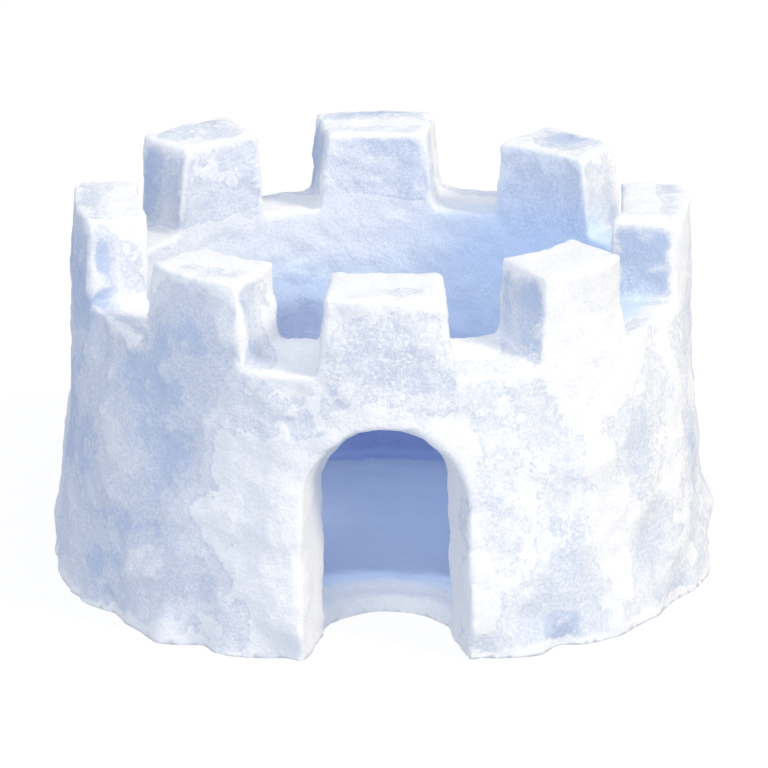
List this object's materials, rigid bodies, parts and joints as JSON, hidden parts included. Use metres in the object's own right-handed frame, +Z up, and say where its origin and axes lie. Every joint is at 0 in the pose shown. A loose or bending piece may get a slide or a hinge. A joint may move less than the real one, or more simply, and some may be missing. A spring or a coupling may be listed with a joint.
{
  "type": "snow fort",
  "caption": "Round, waist-high play fort of packed snow with a crenellated wall, an arched crawl-through doorway, an open top and a low snow floor.",
  "frame": {"origin": "on the ground, under the middle of the fort's bounding box", "axes": "+Z up; the doorway faces -Y; +X is to the right of someone who faces the doorway"},
  "size_m": [2.1126, 2.065, 1.2124],
  "materials": {
    "packed_snow": "matte, granular packed snow"
  },
  "bodies": {
    "root": {"snow_fort": "packed_snow"}
  },
  "joints": []
}
